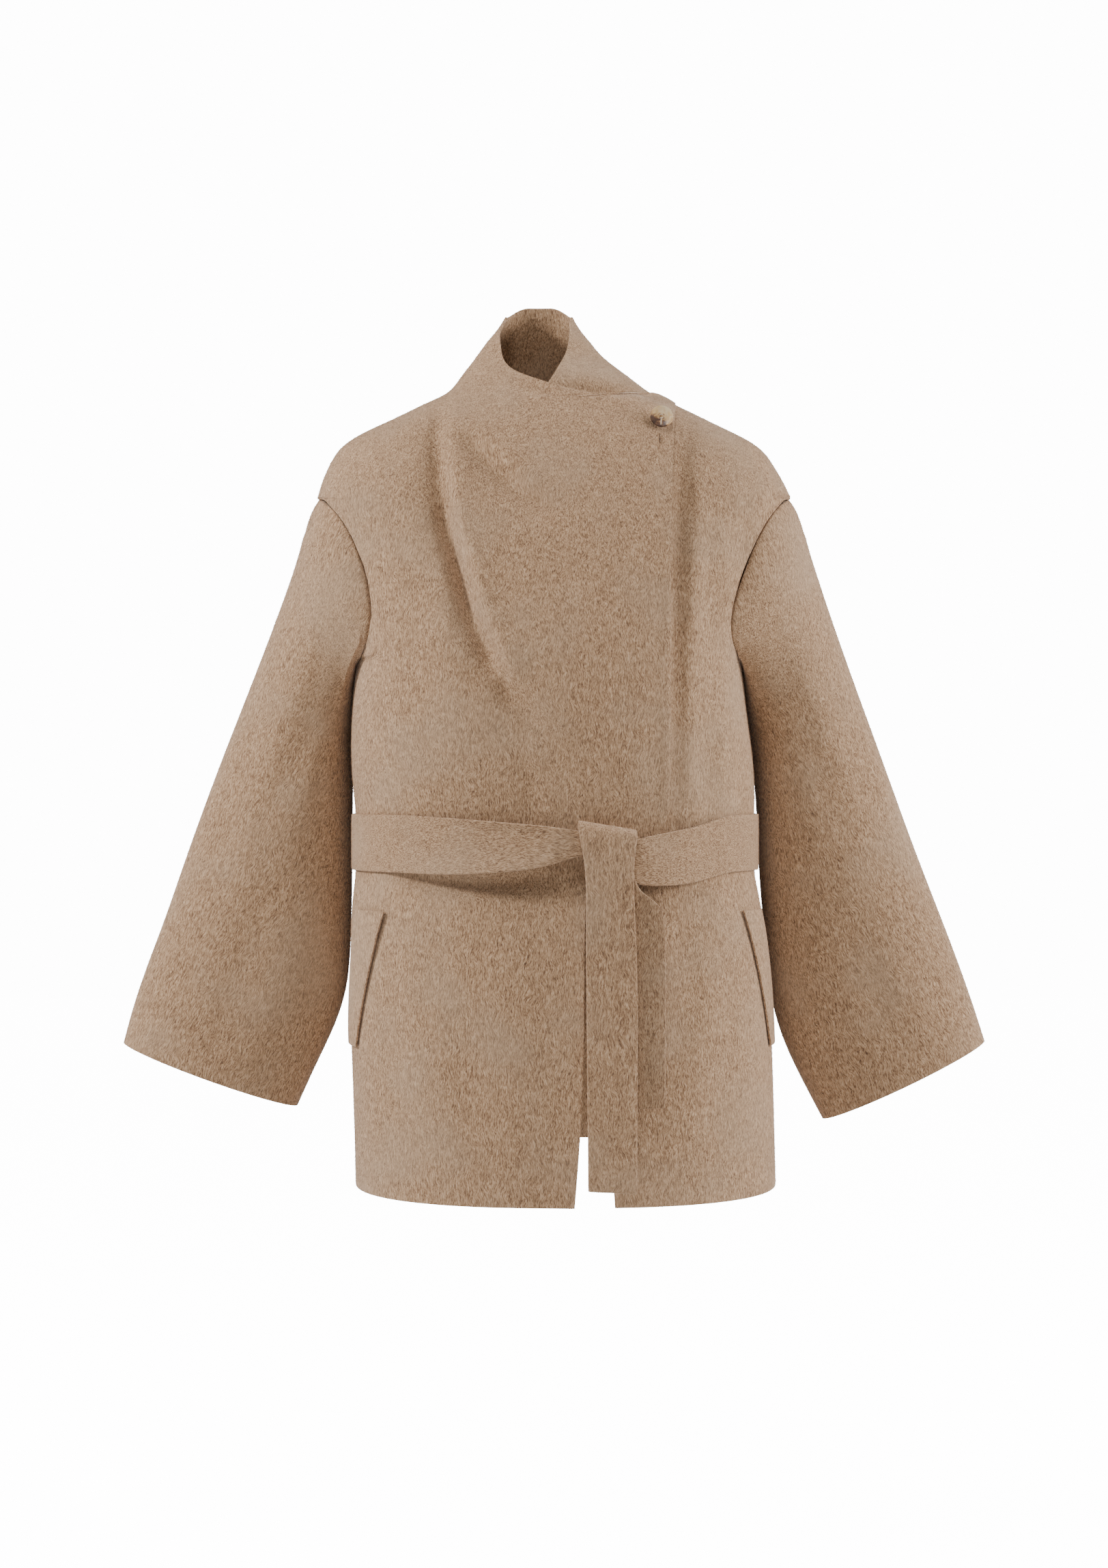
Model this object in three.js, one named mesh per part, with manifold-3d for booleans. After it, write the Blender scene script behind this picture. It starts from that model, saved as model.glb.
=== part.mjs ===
// A short belted wrap jacket in thick brushed double wool, filled out as if worn, with nobody in it.
// Millimetres, +Z up. The jacket faces -Y, its left side is at +X and its right side at -X.
// The origin is where the shoulders carry it: the middle of the neck, level with the neck points.
import * as THREE from "three";
import Module from "manifold-3d";
import { mergeVertices } from "three/addons/utils/BufferGeometryUtils.js";

const wasm = await Module();
wasm.setup();

// Driving dimensions
const cloth = 2.6; // double-faced wool, both layers
const seamGap = 0.3;
const layerGap = 1.7; // air between the crossed fronts
const collarStand = 2.4; // how much more of it there is along the flap's top edge
const hem = -770;
const underarm = -265;
const sleeveSeamTop = -101;
const collarSide = 84; // top of the collar at its two sides
const collarBack = 97; // top of the collar at the nape
const backHemRise = 19; // the back hem hangs a little higher than the front one
const squareness = 2.4; // how far the body's rings go from an ellipse towards a box
const armholeReach = 33; // degrees that the armhole runs forward and back of the side
const panelArmhole = 1.02; // the panels' armhole is this much wider than the sleeve's head, for the seam
const beltCloth = 3.4;
const buttonAcross = 22;

// The body's outer face, ring by ring: its reach to each side, forward and back of its middle line
const rings = [
  { z: -770, right: 194, left: 217, mid: 0, front: 146, back: 142 },
  { z: -690, right: 196, left: 215, mid: 0, front: 146, back: 141 },
  { z: -600, right: 199, left: 212, mid: 0, front: 144, back: 138 },
  { z: -520, right: 199, left: 206, mid: 0, front: 141, back: 134 },
  { z: -490, right: 197, left: 201, mid: 0, front: 138, back: 130 },
  { z: -466, right: 194, left: 196, mid: 0, front: 134, back: 125 },
  { z: -408, right: 194, left: 196, mid: 0, front: 134, back: 125 },
  { z: -385, right: 197, left: 197, mid: 0, front: 137, back: 128 },
  { z: -350, right: 199, left: 194, mid: 0, front: 141, back: 131 },
  { z: -310, right: 198, left: 188, mid: 0, front: 142, back: 133 },
  { z: -265, right: 193, left: 184, mid: 0, front: 141, back: 135 },
  { z: -220, right: 198, left: 192, mid: 0, front: 136, back: 134 },
  { z: -180, right: 208, left: 211, mid: 0, front: 129, back: 131 },
  { z: -140, right: 222, left: 224, mid: 0, front: 120, back: 126 },
  { z: -101, right: 234, left: 234, mid: 0, front: 110, back: 119 },
  { z: -82, right: 226, left: 222, mid: 0, front: 104, back: 114 },
  { z: -58, right: 214, left: 208, mid: 0, front: 94, back: 106 },
  { z: -49, right: 206, left: 197, mid: 0, front: 90, back: 102 },
  { z: -41, right: 192, left: 181, mid: 0, front: 86, back: 98 },
  { z: -25, right: 158, left: 148, mid: 1, front: 78, back: 88 },
  { z: -9, right: 126, left: 116, mid: 3, front: 70, back: 76 },
  { z: -1, right: 108, left: 98, mid: 5, front: 68, back: 68 },
  { z: 7, right: 100, left: 88, mid: 7, front: 65, back: 61 },
  { z: 23, right: 90, left: 69, mid: 12, front: 56, back: 52 },
  { z: 39, right: 78, left: 48, mid: 17, front: 48, back: 44 },
  { z: 55, right: 68, left: 37, mid: 21, front: 44, back: 37 },
  { z: 71, right: 55, left: 24, mid: 25, front: 28, back: 29 },
  { z: 85, right: 48, left: 18, mid: 29, front: 20, back: 22 },
  { z: 97, right: 44, left: 15, mid: 32, front: 14, back: 18 },
];

// Heights of the cross rows on a side seam, up to the armhole, and from the shoulder's end up to the collar's top
const skirtRows = [
  -770, -740, -700, -655, -610, -565, -522, -490, -470, -455, -441, -428, -408, -382, -345, -303,
];
const armholeRows = 8;
const shoulderRows = [-88, -73, -60, -49, -39, -28, -18, -9, 0, 10, 24, 40, 56, 71, collarSide];

// Top edge of the right front, from the collar's right side round to the flap's corner on the left shoulder
const flapTop = [
  { angle: -90, z: collarSide },
  { angle: -65, z: 69 },
  { angle: -41, z: 53 },
  { angle: -25, z: 27 },
  { angle: -15, z: 12.6 },
  { angle: -7, z: 4.6 },
  { angle: 4, z: -7 },
  { angle: 11, z: -12.5 },
  { angle: 22, z: -14.5 },
  { angle: 32, z: -13 },
  { angle: 48, z: -5.5 },
  { angle: 68, z: -3 },
  { angle: 90, z: -9 },
];

// Front edge of the right front: the slit below the belt, then the flap's edge up to the left shoulder
const flapEdge = [
  { z: -770, x: 19 },
  { z: -706, x: 24 },
  { z: -640, x: 27 },
  { z: -478, x: 29 },
  { z: -462, x: 40 },
  { z: -432, x: 94 },
  { z: -418, x: 105 },
  { z: -190, x: 107 },
  { z: -53, x: 112 },
  { z: -9, x: 116 },
];

// Front edge of the left front, which lies under the flap and comes out of it as the collar's inner edge
const underEdge = [
  { z: -770, x: 56 },
  { z: -470, x: 38 },
  { z: -4, x: -11 },
  { z: 6, x: -4 },
  { z: 25, x: 6 },
  { z: 40, x: 13 },
  { z: 60, x: 16 },
  { z: 79, x: 16.5 },
];

// Folds: each runs along its path, depth below the face (or above it, if negative), spread as a half width,
// and lip as the share of the depth that swells beside it
const rightFrontFolds = [
  { path: [[-110, -40], [-104, -120], [-77, -224], [-45, -294], [8, -348]], depth: 9, spread: 13, lip: 0.6 },
  { path: [[-84, -56], [-45, -98], [-2, -136]], depth: 3.5, spread: 13, lip: 0.4 },
  { path: [[16, -340], [0, -395], [-6, -450]], depth: 3, spread: 14, lip: 0.2 },
  { path: [[84, -12], [80, -45], [78, -90]], depth: -2.5, spread: 8, lip: 0 },
  { path: [[-120, -470], [-112, -540], [-110, -610]], depth: 3, spread: 20, lip: 0.3 },
];
const leftFrontFolds = [
  { path: [[146, -300], [145, -360], [144, -425]], depth: 5, spread: 8, lip: 0.5 },
  { path: [[176, -110], [180, -160], [178, -215]], depth: 4, spread: 12, lip: 0.3 },
  { path: [[128, -250], [124, -330], [122, -415]], depth: 4, spread: 13, lip: 0.3 },
  { path: [[133, -455], [128, -540], [126, -640]], depth: 5, spread: 13, lip: 0.4 },
];
const backFolds = [
  { path: [[-88, -110], [-70, -230], [-52, -340], [-46, -410]], depth: 6, spread: 17, lip: 0.4 },
  { path: [[96, -130], [74, -250], [60, -345], [56, -415]], depth: 5.5, spread: 16, lip: 0.4 },
  { path: [[8, -300], [4, -360], [2, -418]], depth: 4, spread: 11, lip: 0.4 },
  { path: [[-30, -462], [-34, -540], [-40, -640]], depth: 5, spread: 18, lip: 0.4 },
  { path: [[66, -462], [76, -550], [84, -660]], depth: 5, spread: 17, lip: 0.4 },
  { path: [[-120, -470], [-126, -540], [-130, -600]], depth: 3.5, spread: 15, lip: 0.4 },
];

// Sleeve, station by station: its outer line, its inner line along the body, how far back its middle hangs,
// its half depth, and how far its section has gone over from the armhole's curve to a plain oval
const sleeveStations = {
  right: [
    { outX: 234, outZ: -101, inX: 193, inZ: -265, middle: 0, deep: 75, oval: 0 },
    { outX: 239, outZ: -111, inX: 196, inZ: -267, middle: 3, deep: 75, oval: 0.12 },
    { outX: 245, outZ: -126, inX: 197.5, inZ: -277, middle: 8, deep: 73, oval: 0.4 },
    { outX: 255, outZ: -160, inX: 198.5, inZ: -301, middle: 16, deep: 69, oval: 0.8 },
    { outX: 274, outZ: -211, inX: 198.8, inZ: -338, middle: 22, deep: 64, oval: 1 },
    { outX: 302, outZ: -282, inX: 198.8, inZ: -398, middle: 24, deep: 58, oval: 1 },
    { outX: 334, outZ: -362, inX: 198.8, inZ: -470, middle: 24, deep: 53, oval: 1 },
    { outX: 364, outZ: -443, inX: 199.5, inZ: -535, middle: 22, deep: 49, oval: 1 },
    { outX: 391, outZ: -523, inX: 203, inZ: -592, middle: 18, deep: 46, oval: 1 },
    { outX: 414, outZ: -584, inX: 226, inZ: -643, middle: 14, deep: 44, oval: 1 },
    { outX: 427, outZ: -635, inX: 251, inZ: -699, middle: 10, deep: 43, oval: 1 },
  ],
  left: [
    { outX: 234, outZ: -101, inX: 184, inZ: -265, middle: 0, deep: 75, oval: 0 },
    { outX: 239, outZ: -110, inX: 186.5, inZ: -267, middle: 3, deep: 75, oval: 0.12 },
    { outX: 245, outZ: -124, inX: 188, inZ: -277, middle: 8, deep: 73, oval: 0.4 },
    { outX: 256, outZ: -158, inX: 189, inZ: -301, middle: 16, deep: 69, oval: 0.8 },
    { outX: 274, outZ: -210, inX: 193, inZ: -338, middle: 22, deep: 64, oval: 1 },
    { outX: 300, outZ: -282, inX: 200, inZ: -398, middle: 24, deep: 58, oval: 1 },
    { outX: 330, outZ: -362, inX: 202, inZ: -474, middle: 24, deep: 53, oval: 1 },
    { outX: 359, outZ: -443, inX: 208.5, inZ: -542, middle: 22, deep: 49, oval: 1 },
    { outX: 390, outZ: -523, inX: 214, inZ: -606, middle: 18, deep: 46, oval: 1 },
    { outX: 412, outZ: -584, inX: 236, inZ: -660, middle: 14, deep: 44, oval: 1 },
    { outX: 427, outZ: -633, inX: 263, inZ: -712, middle: 10, deep: 43, oval: 1 },
  ],
};
const sleeveRings = 17;

const colours = { wool: 0xa38b72, belt: 0x9c826a, horn: 0xd9c7a4, thread: 0xd8cbb2 };
const wool = (colour) => new THREE.MeshStandardMaterial({ color: colour, roughness: 0.95, metalness: 0 });
const radians = (degrees) => (degrees * Math.PI) / 180;
const mix = (a, b, share) => a + (b - a) * share;
const clamp = (value, low, high) => Math.min(Math.max(value, low), high);
const ease = (low, high, value) => {
  const t = clamp((value - low) / (high - low), 0, 1);
  return t * t * (3 - 2 * t);
};

// A smooth curve with no overshoot through one column of a table
function curve(rows, column, key = "z") {
  const at = rows.map((row) => row[key]);
  const value = rows.map((row) => row[column]);
  const last = rows.length - 1;
  const step = at.slice(1).map((next, i) => next - at[i]);
  const rise = step.map((width, i) => (value[i + 1] - value[i]) / width);
  const slope = at.map((_, i) => {
    if (i === 0) return rise[0];
    if (i === last) return rise[last - 1];
    if (rise[i - 1] * rise[i] <= 0) return 0;
    const before = 2 * step[i] + step[i - 1];
    const after = step[i] + 2 * step[i - 1];
    return (before + after) / (before / rise[i - 1] + after / rise[i]);
  });
  return (where) => {
    const q = clamp(where, at[0], at[last]);
    let i = 0;
    while (i < last - 1 && q > at[i + 1]) i += 1;
    const t = (q - at[i]) / step[i];
    const start = value[i] * (1 + 2 * t) * (1 - t) ** 2 + slope[i] * step[i] * t * (1 - t) ** 2;
    return start + value[i + 1] * t * t * (3 - 2 * t) + slope[i + 1] * step[i] * t * t * (t - 1);
  };
}

const reach = Object.fromEntries(
  ["right", "left", "mid", "front", "back"].map((column) => [column, curve(rings, column)]),
);
const flapTopAt = curve(flapTop, "z", "angle");
const flapEdgeAt = curve(flapEdge, "x");
const underEdgeAt = curve(underEdge, "x");
const FRONT = -1;
const BACK = 1;

// A point of the body's outer face. The angle is 0 in the middle of that face, -90 at the jacket's right
// side and 90 at its left side.
function bodyPoint(face, angle, z) {
  const across = Math.sin(radians(angle));
  const along = Math.max(Math.cos(radians(angle)), 0);
  const half = (reach.left(z) + reach.right(z)) / 2;
  const centre = (reach.left(z) - reach.right(z)) / 2;
  const deep = face === FRONT ? reach.front(z) : reach.back(z);
  const power = 2 / squareness;
  const y = seamGap / 2 + (deep - seamGap / 2) * along ** power;
  const x = centre + half * Math.sign(across) * Math.abs(across) ** power;
  return new THREE.Vector3(x, reach.mid(z) + face * y, z);
}

// The angle at which the front face has a given x
function angleOf(x, z) {
  const half = (reach.left(z) + reach.right(z)) / 2;
  const centre = (reach.left(z) - reach.right(z)) / 2;
  const share = clamp((x - centre) / half, -1, 1);
  return (Math.asin(Math.sign(share) * Math.abs(share) ** (squareness / 2)) * 180) / Math.PI;
}

// Outward direction of the body's face
function bodyNormal(face, angle, z) {
  const a = clamp(angle, -88, 88);
  const round = bodyPoint(face, a + 1.5, z).sub(bodyPoint(face, a - 1.5, z));
  const up = bodyPoint(face, a, Math.min(z + 3, collarBack)).sub(bodyPoint(face, a, z - 3));
  const out = new THREE.Vector3().crossVectors(round, up).normalize();
  return face === FRONT ? out : out.negate();
}

// The belt presses the folds flat where it lies
const beltPress = (z) => 1 - ease(-486, -468, z) * ease(-388, -406, z);

// Signed height of all folds at a place of a face
function foldHeight(folds, x, z) {
  let total = 0;
  for (const { path, depth, spread, lip } of folds) {
    let nearest = { gap: Infinity };
    path.slice(1).forEach(([bx, bz], i) => {
      const [ax, az] = path[i];
      const length = Math.hypot(bx - ax, bz - az);
      const t = clamp(((x - ax) * (bx - ax) + (z - az) * (bz - az)) / length ** 2, 0, 1);
      const gap = Math.hypot(x - mix(ax, bx, t), z - mix(az, bz, t));
      const side = Math.sign((x - ax) * (az - bz) + (z - az) * (bx - ax)) || 1;
      if (gap < nearest.gap) nearest = { gap, side, share: (i + t) / (path.length - 1) };
    });
    const fade = Math.max(Math.sin(Math.PI * nearest.share), 0) ** 0.6;
    const off = (nearest.gap * nearest.side) / spread;
    total -= depth * fade * (Math.exp(-off * off) - lip * Math.exp(-((off - 1.7) ** 2)));
  }
  return total * beltPress(z);
}

// A closed wall between a grid of outer points and the same points set in by the cloth's thickness.
// Rows run along the first index. A closed grid joins its last column to its first.
function wallGeometry(outer, inner, closed = false) {
  const rows = outer.length;
  const columns = outer[0].length;
  const position = [...outer.flat(), ...inner.flat()].flatMap((p) => p.toArray());
  const index = [];
  const quad = (a, b, c, d) => index.push(a, b, c, a, c, d);
  const at = (row, column, deep) => (deep ? rows * columns : 0) + row * columns + (column % columns);
  const spans = closed ? columns : columns - 1;
  for (let r = 0; r < rows - 1; r += 1)
    for (let c = 0; c < spans; c += 1) {
      quad(at(r, c, 0), at(r, c + 1, 0), at(r + 1, c + 1, 0), at(r + 1, c, 0));
      quad(at(r, c, 1), at(r + 1, c, 1), at(r + 1, c + 1, 1), at(r, c + 1, 1));
    }
  for (let c = 0; c < spans; c += 1) {
    quad(at(0, c, 1), at(0, c + 1, 1), at(0, c + 1, 0), at(0, c, 0));
    quad(at(rows - 1, c, 0), at(rows - 1, c + 1, 0), at(rows - 1, c + 1, 1), at(rows - 1, c, 1));
  }
  if (!closed)
    for (let r = 0; r < rows - 1; r += 1) {
      const end = columns - 1;
      quad(at(r, 0, 0), at(r + 1, 0, 0), at(r + 1, 0, 1), at(r, 0, 1));
      quad(at(r, end, 1), at(r + 1, end, 1), at(r + 1, end, 0), at(r, end, 0));
    }
  const geometry = new THREE.BufferGeometry();
  geometry.setAttribute("position", new THREE.Float32BufferAttribute(position, 3));
  geometry.setIndex(index);
  return facingOut(geometry);
}

// Turns a closed geometry right side out
function facingOut(geometry) {
  const p = geometry.getAttribute("position");
  const index = geometry.getIndex().array;
  const [a, b, c] = [new THREE.Vector3(), new THREE.Vector3(), new THREE.Vector3()];
  let volume = 0;
  for (let i = 0; i < index.length; i += 3) {
    a.fromBufferAttribute(p, index[i]);
    b.fromBufferAttribute(p, index[i + 1]);
    c.fromBufferAttribute(p, index[i + 2]);
    volume += a.dot(b.cross(c));
  }
  if (volume < 0)
    for (let i = 0; i < index.length; i += 3) [index[i + 1], index[i + 2]] = [index[i + 2], index[i + 1]];
  geometry.computeVertexNormals();
  return geometry;
}

const jacket = new THREE.Group();
function add(name, geometry, material) {
  const mesh = new THREE.Mesh(geometry, material);
  mesh.name = name;
  jacket.add(mesh);
}

// Heights of the panels' side edges, closely spaced where the armhole turns
const armholeHeights = Array.from({ length: armholeRows + 1 }, (_, k) =>
  mix(underarm, sleeveSeamTop, (1 - Math.cos((Math.PI * k) / armholeRows)) / 2),
);
const sideHeights = [...skirtRows, ...armholeHeights, ...shoulderRows];

// How far the armhole's edge stands from the side line, in degrees
function armholeAngle(z) {
  const share = clamp((z - underarm) / (sleeveSeamTop - underarm), 0, 1);
  return armholeReach * Math.max(1 - Math.abs(1 - 2 * share) ** 3, 0) ** (1 / 3);
}

// A body panel: place gives the face, angle and height of each grid point, lift how far it stands off the face
function panel(columns, place, lift, folds) {
  const outer = [];
  const inner = [];
  for (const side of sideHeights) {
    const outerRow = [];
    const innerRow = [];
    for (let c = 0; c <= columns; c += 1) {
      const { face, angle, z } = place(c / columns, side);
      const out = bodyNormal(face, angle, z);
      const point = bodyPoint(face, angle, z);
      const edge = ease(88, 62, Math.abs(angle));
      const height = lift(point, angle) + foldHeight(folds, point.x, z) * edge;
      outerRow.push(point.clone().addScaledVector(out, height));
      innerRow.push(point.clone().addScaledVector(out, height - cloth));
    }
    outer.push(outerRow);
    inner.push(innerRow);
  }
  return wallGeometry(outer, inner);
}

// Share of the armhole's curve that a column takes up, falling away from the edge
const nearEdge = (across) => Math.max(1 - across / 0.75, 0) ** 2;
const fanPower = 2.2;
// Above the underarm the right front's rows fan out from the side edge to the slanting top edge
function rightFrontPlace(across, side) {
  const share = clamp((side - underarm) / (collarSide - underarm), 0, 1) ** fanPower;
  const level = (angle) => side - (collarSide - flapTopAt(angle)) * share;
  const free = level(90);
  const start = -90 + panelArmhole * armholeAngle(side);
  const end = angleOf(flapEdgeAt(free), free);
  const angle = mix(-90, end, across) + (start + 90) * nearEdge(across);
  const topAngle = mix(-90, 90, across);
  return { face: FRONT, angle, z: level(topAngle) };
}

function leftFrontPlace(across, side) {
  const top = underEdge[underEdge.length - 1].z;
  const free = side <= underarm ? side : mix(underarm, top, (side - underarm) / (collarSide - underarm));
  const start = angleOf(underEdgeAt(free), free);
  const end = 90 - panelArmhole * armholeAngle(side);
  const angle = mix(start, 90, across) - (90 - end) * nearEdge(1 - across);
  return { face: FRONT, angle, z: mix(free, side, across) };
}

function backPlace(across, side) {
  const rise = ease(0, 0.4, 0.5 - Math.abs(across - 0.5));
  const low = backHemRise * rise * ease(-560, hem, side);
  const high = (collarBack - collarSide) * rise * ease(-20, collarSide, side);
  const shift = panelArmhole * armholeAngle(side);
  const angle = mix(-90, 90, across) + shift * (nearEdge(across) - nearEdge(1 - across));
  return { face: BACK, angle, z: side + low + high };
}

// The flap lies over the left front, so it stands off the body's face there, and a little more by the collar
const flapLift = ({ x, z }) => {
  const whole = cloth + layerGap + collarStand * ease(-95, -30, z);
  return whole * ease(-52, -14, x - underEdgeAt(z));
};
const flat = () => 0;

add("front_right", panel(21, rightFrontPlace, flapLift, rightFrontFolds), wool(colours.wool));
add("front_left", panel(13, leftFrontPlace, flat, leftFrontFolds), wool(colours.wool));
add("back", panel(21, backPlace, flat, backFolds), wool(colours.wool));

// A sleeve: its first ring follows the armhole, and the rest go over to ovals
function sleeve(side) {
  const stations = sleeveStations[side].map((row, index) => ({ ...row, index }));
  const column = (name) => curve(stations, name, "index");
  const [outX, outZ, inX, inZ] = [column("outX"), column("outZ"), column("inX"), column("inZ")];
  const [middle, deep, oval] = [column("middle"), column("deep"), column("oval")];
  const sign = side === "right" ? -1 : 1;
  const around = armholeRows * 2;
  const last = stations.length - 1;
  const outer = [];
  for (let r = 0; r < sleeveRings; r += 1) {
    const at = last * (r / (sleeveRings - 1)) ** 1.15;
    const ring = [];
    for (let c = 0; c < around; c += 1) {
      const turn = (2 * Math.PI * c) / around;
      const z = mix(underarm, sleeveSeamTop, (1 + Math.cos(turn)) / 2);
      const face = turn <= Math.PI ? FRONT : BACK;
      const hole = bodyPoint(face, sign * (90 - armholeAngle(z)), z);
      const share = (1 + Math.cos(turn)) / 2;
      hole.x += sign * (mix(inX(at) - inX(0), outX(at) - outX(0), share));
      hole.z += mix(inZ(at) - inZ(0), outZ(at) - outZ(0), share);
      const round = new THREE.Vector3(
        sign * mix(inX(at), outX(at), share),
        middle(at) - deep(at) * Math.sin(turn),
        mix(inZ(at), outZ(at), share),
      );
      ring.push(hole.lerp(round, oval(at)));
    }
    outer.push(ring);
  }
  const holeCentre = new THREE.Vector3(sign * 212, 0, (underarm + sleeveSeamTop) / 2);
  const bodyOut = [];
  outer[0] = outer[0].map((p, c) => {
    const turn = (2 * Math.PI * c) / around;
    bodyOut.push(bodyNormal(turn <= Math.PI ? FRONT : BACK, sign * (90 - armholeAngle(p.z)), p.z));
    const along = outer[1][c].clone().sub(p).normalize();
    const inward = holeCentre.clone().sub(p).normalize();
    return p.clone().addScaledVector(along, seamGap).addScaledVector(inward, seamGap * 2.4);
  });
  const inner = outer.map((ring, r) =>
    ring.map((p, c) => {
      const next = outer[Math.min(r + 1, sleeveRings - 1)][c];
      const before = outer[Math.max(r - 1, 0)][c];
      const round = ring[(c + 1) % around].clone().sub(ring[(c + around - 1) % around]);
      const out = new THREE.Vector3().crossVectors(round, next.clone().sub(before)).normalize();
      if (side === "right") out.negate();
      if (r === 0) out.copy(bodyOut[c]);
      return p.clone().addScaledVector(out, -cloth);
    }),
  );
  return wallGeometry(outer, inner, true);
}
add("sleeve_right", sleeve("right"), wool(colours.wool));
add("sleeve_left", sleeve("left"), wool(colours.wool));

// A strip laid along a path of stations, each with its two edge points and its outward direction
function strip(stations, thickness) {
  const outer = stations.map(({ low, high, out }) => [
    low.clone().addScaledVector(out, thickness),
    low.clone().lerp(high, 0.5).addScaledVector(out, thickness),
    high.clone().addScaledVector(out, thickness),
  ]);
  const inner = stations.map(({ low, high }) => [low.clone(), low.clone().lerp(high, 0.5), high.clone()]);
  return wallGeometry(outer, inner);
}

// The pocket welts lie on the fronts, just below the belt, and slant back towards the side seams
const welt = { top: -501, bottom: -632, inset: 2.2, rows: 7, columns: 5 };
const weltEdges = {
  right: { topInner: -50, topOuter: -70, bottomInner: -69, bottomOuter: -84.5 },
  left: { topInner: 58, topOuter: 75, bottomInner: 73, bottomOuter: 86 },
};
function pocketWelt(side, folds) {
  const edges = weltEdges[side];
  const outer = [];
  const inner = [];
  for (let r = 0; r <= welt.rows; r += 1) {
    const down = r / welt.rows;
    const z = mix(welt.top, welt.bottom, down);
    const outerRow = [];
    const innerRow = [];
    for (let c = 0; c <= welt.columns; c += 1) {
      const across = c / welt.columns;
      const top = mix(edges.topInner, edges.topOuter, across);
      const bottom = mix(edges.bottomInner, edges.bottomOuter, across);
      const angle = mix(top, bottom, down);
      const point = bodyPoint(FRONT, angle, z);
      const out = bodyNormal(FRONT, angle, z);
      const base = foldHeight(folds, point.x, z) * ease(88, 62, Math.abs(angle)) + 0.8;
      outerRow.push(point.clone().addScaledVector(out, base + welt.inset));
      innerRow.push(point.clone().addScaledVector(out, base));
    }
    outer.push(outerRow);
    inner.push(innerRow);
  }
  return wallGeometry(outer, inner);
}
add("pocket_welt_right", pocketWelt("right", rightFrontFolds), wool(colours.wool));
add("pocket_welt_left", pocketWelt("left", leftFrontFolds), wool(colours.wool));

// The belt's band goes once round the waist, from one side of the knot to the other. Stations give its place
// on the body, its two edges and how far it stands off.
const bandRight = [
  { x: 36, low: -445, high: -426, off: 13.4 },
  { x: 24, low: -446, high: -424, off: 13.4 },
  { x: 5, low: -453, high: -421, off: 13 },
  { x: -22, low: -460, high: -418, off: 12 },
  { x: -60, low: -463, high: -415, off: 9 },
  { x: -100, low: -465, high: -412, off: 6 },
];
const bandLeft = [
  { x: 38, low: -466, high: -433, off: 10.4 },
  { x: 60, low: -470, high: -434, off: 12.8 },
  { x: 80, low: -475, high: -430, off: 15 },
  { x: 104, low: -475, high: -425, off: 11 },
  { x: 128, low: -473, high: -421, off: 6.5 },
];
const bandSide = { low: -464, high: -410, off: 1.3 };
function beltBand() {
  const frontStation = ({ x, low, high, off }) => {
    const z = (low + high) / 2;
    return { face: FRONT, angle: angleOf(x, z), low, high, off };
  };
  const sideStation = (face, angle) => ({ face, angle, ...bandSide });
  const backAngles = [-85, -75, -65, -55, -45, -34, -22, -11, 0, 11, 22, 34, 45, 55, 65, 75, 85];
  const steps = [
    ...bandRight.map(frontStation),
    ...[-40, -50, -60, -70, -80, -87].map((angle) => sideStation(FRONT, angle)),
    ...backAngles.map((angle) => sideStation(BACK, angle)),
    ...[87, 80, 70, 60, 52].map((angle) => sideStation(FRONT, angle)),
    ...bandLeft.map(frontStation).reverse(),
  ];
  const places = steps.map(({ face, angle, low, high, off }) => {
    const z = (low + high) / 2;
    const out = bodyNormal(face, angle, z).setZ(0).normalize();
    const base = bodyPoint(face, angle, z).addScaledVector(out, off);
    return { low: base.clone().setZ(low), high: base.clone().setZ(high), out };
  });
  return strip(places, beltCloth);
}
add("belt_band", beltBand(), wool(colours.belt));

// Front tail: it comes up behind the band, turns over its top edge and hangs down in front
const frontTail = [
  { y: -142.5, z: -470, left: 30, right: 60, tilt: 0 },
  { y: -142.5, z: -445, left: 27, right: 64, tilt: 0 },
  { y: -142.7, z: -427, left: 25, right: 70, tilt: 3 },
  { y: -144.2, z: -420, left: 23, right: 74, tilt: 7 },
  { y: -147.4, z: -417, left: 22, right: 76, tilt: 9 },
  { y: -150.6, z: -420, left: 22, right: 76.5, tilt: 8 },
  { y: -152, z: -428, left: 23, right: 76, tilt: 5 },
  { y: -152.4, z: -442, left: 26, right: 74, tilt: 2 },
  { y: -152.4, z: -460, left: 28.5, right: 73, tilt: 0 },
  { y: -152.2, z: -482, left: 29.5, right: 73, tilt: 0 },
  { y: -152, z: -520, left: 29, right: 75, tilt: 0 },
  { y: -152, z: -570, left: 29.5, right: 76.5, tilt: 0 },
  { y: -152, z: -620, left: 30, right: 76.5, tilt: 0 },
  { y: -152.4, z: -680, left: 30.5, right: 76, tilt: 0 },
  { y: -153, z: -720, left: 31, right: 76, tilt: 0 },
  { y: -153.4, z: -753, left: 31, right: 76, tilt: 2 },
];
const backTail = [
  { y: -151, z: -448, left: 42, right: 71, tilt: 0 },
  { y: -151, z: -464, left: 44, right: 73, tilt: 0 },
  { y: -151, z: -479, left: 50, right: 77, tilt: 0 },
  { y: -151, z: -490, left: 55, right: 97, tilt: 0 },
  { y: -151, z: -504, left: 57, right: 102, tilt: 0 },
  { y: -150.8, z: -570, left: 54, right: 102.5, tilt: 0 },
  { y: -150.8, z: -630, left: 53, right: 102, tilt: 0 },
  { y: -151, z: -679, left: 52, right: 101.5, tilt: -1.5 },
];
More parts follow.
